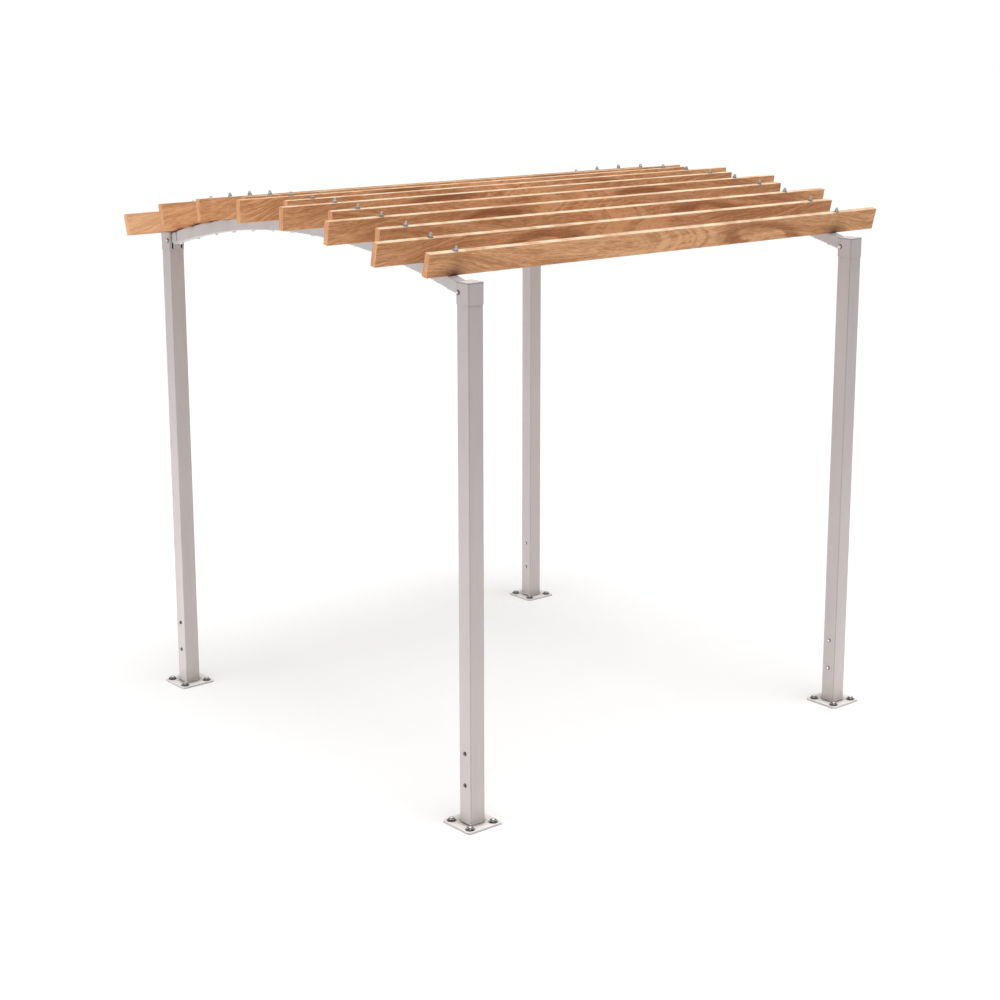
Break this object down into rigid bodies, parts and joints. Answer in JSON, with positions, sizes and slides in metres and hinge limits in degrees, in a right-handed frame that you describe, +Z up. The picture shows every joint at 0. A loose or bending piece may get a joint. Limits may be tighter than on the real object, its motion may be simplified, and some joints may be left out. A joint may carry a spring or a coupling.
{
  "type": "pergola",
  "caption": "Open garden pergola with square steel posts on bolted base plates, arched steel side beams and staggered timber slats set on edge as an open roof.",
  "frame": {"origin": "on the ground at the centre of the plan, midway between the four posts, level with the undersides of the base plates", "axes": "+Z up; +X along the slats from the left beam to the right beam; +Y along the arched beams from the front posts to the rear posts"},
  "size_m": [3.18, 2.77, 2.8452],
  "materials": {
    "post_steel": "satin",
    "plate_steel": "satin",
    "sleeve_steel": "satin",
    "head_steel": "satin",
    "cap_steel": "satin",
    "beam_steel": "satin",
    "fastener_steel": "satin",
    "slat_wood": "satin"
  },
  "bodies": {
    "root": {"post_front_left": "post_steel", "post_front_right": "post_steel", "post_rear_left": "post_steel", "post_rear_right": "post_steel", "plate_front_left": "plate_steel", "plate_front_right": "plate_steel", "plate_rear_left": "plate_steel", "plate_rear_right": "plate_steel", "sleeve_front_left": "sleeve_steel", "sleeve_front_right": "sleeve_steel", "sleeve_rear_left": "sleeve_steel", "sleeve_rear_right": "sleeve_steel", "collar_front_left": "head_steel", "collar_front_right": "head_steel", "collar_rear_left": "head_steel", "collar_rear_right": "head_steel", "cap_front_left": "cap_steel", "cap_front_right": "cap_steel", "cap_rear_left": "cap_steel", "cap_rear_right": "cap_steel", "beam_left": "beam_steel", "beam_right": "beam_steel", "slat_01": "slat_wood", "slat_02": "slat_wood", "slat_03": "slat_wood", "slat_04": "slat_wood", "slat_05": "slat_wood", "slat_06": "slat_wood", "slat_07": "slat_wood", "slat_08": "slat_wood", "slat_09": "slat_wood", "slat_10": "slat_wood", "slat_11": "slat_wood", "slat_12": "slat_wood", "slat_13": "slat_wood", "slat_14": "slat_wood"}
  },
  "joints": []
}
